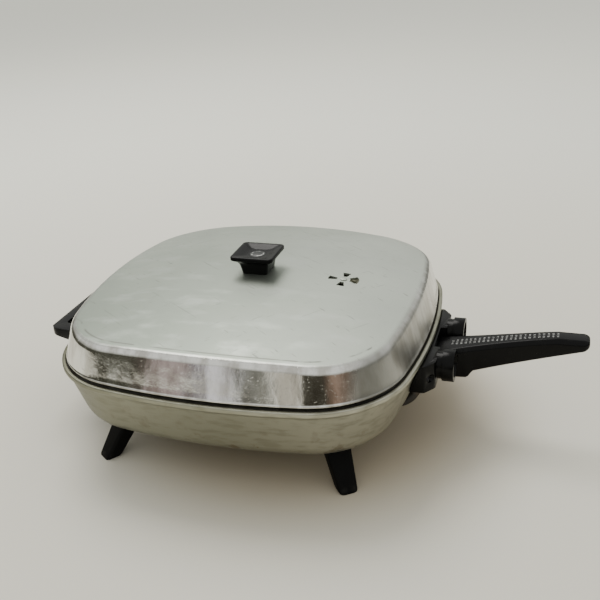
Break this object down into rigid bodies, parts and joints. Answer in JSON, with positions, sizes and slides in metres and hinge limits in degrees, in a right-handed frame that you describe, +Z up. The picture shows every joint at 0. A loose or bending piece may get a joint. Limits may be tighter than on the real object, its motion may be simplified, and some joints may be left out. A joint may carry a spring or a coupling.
{
  "type": "electric skillet",
  "caption": "Square cast-aluminium electric skillet on splayed legs, with a domed lift-off lid, a vent shutter, a long handle and a looped helper handle.",
  "frame": {"origin": "middle of the part's length and width, on the table under the feet; the pan's middle lies 42.85 mm from it towards the helper handle", "axes": "+X points to the tip of the long handle, +Z up, +Y to the back as the picture shows it"},
  "size_m": [0.4402, 0.292, 0.142],
  "materials": {
    "cast_aluminium": "satin cast, warm grey",
    "sheet_aluminium": "satin top, polished side",
    "phenolic": "moulded black, semi-gloss",
    "steel": "plain",
    "sheath": "heat-tinted sheath",
    "pin_plating": "nickel plate",
    "ceramic": null,
    "brass": "plain"
  },
  "bodies": {
    "skillet": {"pan": "cast_aluminium", "heating_element": "sheath", "thermostat_tube": "steel", "socket_plate": "phenolic", "socket_screws": "steel", "terminal_bushes": "ceramic", "terminal_pins": "pin_plating", "lead_connectors": "brass", "long_handle": "phenolic", "handle_screws": "steel", "helper_handle": "phenolic", "helper_screws": "steel", "leg_front_left": "phenolic", "leg_front_right": "phenolic", "leg_back_left": "phenolic", "leg_back_right": "phenolic", "leg_screws": "steel"},
    "cover": {"lid": "sheet_aluminium", "knob": "phenolic", "knob_disc": "steel", "knob_washer": "steel", "knob_screw": "steel", "vent_rivet": "steel", "vent_washer": "steel"},
    "shutter": {"vent_shutter": "sheet_aluminium"}
  },
  "joints": [
    {"name": "lid_lift", "type": "slide", "parent": "skillet", "child": "cover", "axis": [0, 0, 1], "range_m": [0, 0.08]},
    {"name": "vent_turn", "type": "hinge", "parent": "cover", "child": "shutter", "pos_m": [0.02915, 0, 0.12235], "axis": [0.0871, 0, 0.9962], "range_deg": [0, 45]}
  ]
}
